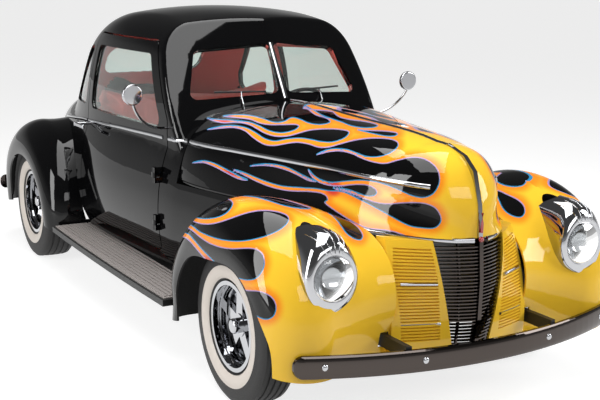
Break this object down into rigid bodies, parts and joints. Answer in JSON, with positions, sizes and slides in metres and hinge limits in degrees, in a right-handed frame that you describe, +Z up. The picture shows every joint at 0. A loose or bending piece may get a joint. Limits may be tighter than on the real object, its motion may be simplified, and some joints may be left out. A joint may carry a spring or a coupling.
{
  "type": "hot rod coupe",
  "caption": "Pre-war style fendered coupe hot rod with flame paint, chrome prow grille, bumpers, running boards and whitewall tyres; doors, hood, deck lid and steering move.",
  "frame": {"origin": "on the floor, at the middle of the car's length and width", "axes": "+Z up, +Y towards the car's tail, +X towards the car's left side"},
  "size_m": [1.8056, 4.6596, 1.6035],
  "materials": {
    "black_paint": "gloss",
    "flame_paint": "gloss",
    "chrome": "polished",
    "glass": "clear",
    "lens_red": "gloss",
    "tyre": "matte",
    "rubber": "matte",
    "frame_black": "satin",
    "cast_iron": "rough",
    "aluminium": "satin",
    "red_trim": "satin",
    "black_plastic": "satin"
  },
  "bodies": {
    "chassis": {"body_shell": "black_paint", "windshield_glass": "glass", "quarter_glass": "glass", "rear_glass": "glass", "front_fenders": "flame_paint", "rear_fenders": "black_paint", "running_boards": "frame_black", "board_mats": "rubber", "nose_panels": "flame_paint", "grille": "chrome", "front_bumper": "chrome", "rear_bumper": "chrome", "bumper_irons": "frame_black", "headlamp_rims": "chrome", "headlamp_lenses": "glass", "tail_lamps": "lens_red", "frame_rails": "frame_black", "floor_pan": "frame_black", "front_axle": "frame_black", "rear_axle": "cast_iron", "leaf_springs": "frame_black", "engine_block": "cast_iron", "radiator": "aluminium", "exhaust_pipes": "chrome", "fuel_tank": "frame_black", "dashboard": "black_plastic", "seat_base": "frame_black", "seat_cushion": "red_trim", "seat_back": "red_trim", "rear_shelf": "red_trim", "steering_column": "black_plastic"},
    "hood": {"hood": "flame_paint", "hood_trim": "chrome"},
    "deck_lid": {"deck_lid": "black_paint"},
    "steering_wheel": {"steering_wheel": "black_plastic"},
    "door_right": {"door_right": "black_paint", "door_glass_right": "glass", "door_mirror_right": "chrome", "door_handle_right": "chrome"},
    "knuckle_right": {"knuckle_right": "cast_iron"},
    "wheel_front_right": {"tyre_front_right": "tyre", "rim_front_right": "chrome"},
    "wheel_rear_right": {"tyre_rear_right": "tyre", "rim_rear_right": "chrome"},
    "door_left": {"door_left": "black_paint", "door_glass_left": "glass", "door_mirror_left": "chrome", "door_handle_left": "chrome"},
    "knuckle_left": {"knuckle_left": "cast_iron"},
    "wheel_front_left": {"tyre_front_left": "tyre", "rim_front_left": "chrome"},
    "wheel_rear_left": {"tyre_rear_left": "tyre", "rim_rear_left": "chrome"}
  },
  "joints": [
    {"name": "door_right_hinge", "type": "hinge", "parent": "chassis", "child": "door_right", "pos_m": [-0.684, -0.444, 0.9], "axis": [0, 0, 1], "range_deg": [0, 65]},
    {"name": "door_left_hinge", "type": "hinge", "parent": "chassis", "child": "door_left", "pos_m": [0.684, -0.444, 0.9], "axis": [0, 0, -1], "range_deg": [0, 65]},
    {"name": "hood_hinge", "type": "hinge", "parent": "chassis", "child": "hood", "pos_m": [0, -0.604, 1.158], "axis": [-1, 0, 0], "range_deg": [0, 45]},
    {"name": "deck_lid_hinge", "type": "hinge", "parent": "chassis", "child": "deck_lid", "pos_m": [0, 1.4365, 1.024], "axis": [1, 0, 0], "range_deg": [0, 55]},
    {"name": "steer_left", "type": "hinge", "parent": "chassis", "child": "knuckle_left", "pos_m": [0.64, -1.59, 0.268], "axis": [0, 0, 1], "range_deg": [-28, 28]},
    {"name": "steer_right", "type": "hinge", "parent": "chassis", "child": "knuckle_right", "pos_m": [-0.64, -1.59, 0.268], "axis": [0, 0, 1], "range_deg": [-28, 28]},
    {"name": "steering_wheel_turn", "type": "hinge", "parent": "chassis", "child": "steering_wheel", "pos_m": [0.345, -0.095, 0.95], "axis": [0, 0.8982, 0.4396], "range_deg": [-448, 448]},
    {"name": "wheel_front_right_spin", "type": "hinge", "parent": "knuckle_right", "child": "wheel_front_right", "pos_m": [-0.738, -1.59, 0.337], "axis": [1, 0, 0], "continuous": true},
    {"name": "wheel_front_left_spin", "type": "hinge", "parent": "knuckle_left", "child": "wheel_front_left", "pos_m": [0.738, -1.59, 0.337], "axis": [1, 0, 0], "continuous": true},
    {"name": "wheel_rear_right_spin", "type": "hinge", "parent": "chassis", "child": "wheel_rear_right", "pos_m": [-0.745, 1.255, 0.35], "axis": [1, 0, 0], "continuous": true},
    {"name": "wheel_rear_left_spin", "type": "hinge", "parent": "chassis", "child": "wheel_rear_left", "pos_m": [0.745, 1.255, 0.35], "axis": [1, 0, 0], "continuous": true}
  ],
  "couplings": [
    {"joint": "steer_right", "follows": "steer_left", "ratio": 1},
    {"joint": "steering_wheel_turn", "follows": "steer_left", "ratio": 16}
  ]
}
